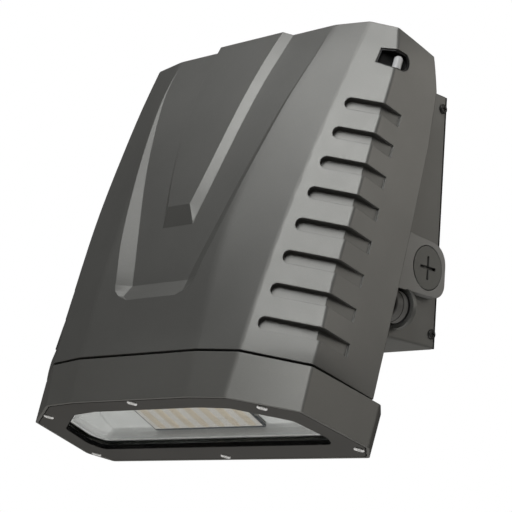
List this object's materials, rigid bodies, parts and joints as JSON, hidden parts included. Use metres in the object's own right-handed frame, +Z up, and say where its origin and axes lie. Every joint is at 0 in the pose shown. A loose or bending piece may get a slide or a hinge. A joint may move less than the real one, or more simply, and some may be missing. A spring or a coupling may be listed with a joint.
{
  "type": "wall_pack_light",
  "caption": "LED wall pack light with a tilting cast head on a hinged yoke, wedge wall box, bezel with glass lens, side slots, photocell window and cable gland",
  "frame": {"origin": "middle of the four wall screw holes, on the wall plane", "axes": "+X to the right seen from the front, -Y out of the wall towards the viewer, +Z up"},
  "size_m": [0.2436, 0.1635, 0.2677],
  "materials": {
    "powder_coat": "satin",
    "zinc_steel": "satin",
    "steel": "satin",
    "dark_screw": "satin",
    "green_screw": "gloss",
    "black_rubber": "matte",
    "black_plastic": "matte",
    "grey_plastic": "matte",
    "white_plastic": "matte",
    "driver_case": "satin",
    "clear_glass": "gloss",
    "white_reflector": "satin",
    "board_white": "satin",
    "led_phosphor": "gloss",
    "bare_aluminium": "satin"
  },
  "bodies": {
    "wall": {"wall_box": "powder_coat", "wall_plate": "zinc_steel", "wall_gasket": "black_rubber", "side_screws": "dark_screw", "ground_screw": "green_screw", "terminal_block": "white_plastic", "terminal_screws": "steel", "hinge_screws": "powder_coat", "hinge_nuts": "steel", "friction_washers": "black_plastic", "gland_washer": "black_rubber", "gland_body": "grey_plastic", "gland_nut": "grey_plastic", "gland_seal": "black_rubber"},
    "head": {"yoke": "powder_coat", "yoke_screws": "steel", "head_housing": "powder_coat", "rear_cover": "powder_coat", "yoke_bars": "steel", "rear_gasket": "black_rubber", "rear_screws": "dark_screw", "driver": "driver_case", "driver_screws": "steel", "surge_protector": "black_plastic", "wire_connector": "white_plastic", "cable_grommet": "black_rubber", "photocell_cup": "black_plastic", "photocell_dome": "white_plastic", "skirt_frame": "powder_coat", "seam_gasket": "black_rubber", "joining_screws": "steel", "bezel_plate": "powder_coat", "bezel_screws": "steel", "lens_gasket": "black_rubber", "glass_lens": "clear_glass", "reflector_tray": "white_reflector", "led_board": "board_white", "led_chips": "led_phosphor", "board_screws": "steel", "led_carrier": "bare_aluminium", "carrier_screws": "steel"}
  },
  "joints": [
    {"name": "head_tilt", "type": "hinge", "parent": "wall", "child": "head", "pos_m": [0, -0.0186, -0.0337], "axis": [-1, 0, 0], "range_deg": [0, 15]}
  ]
}
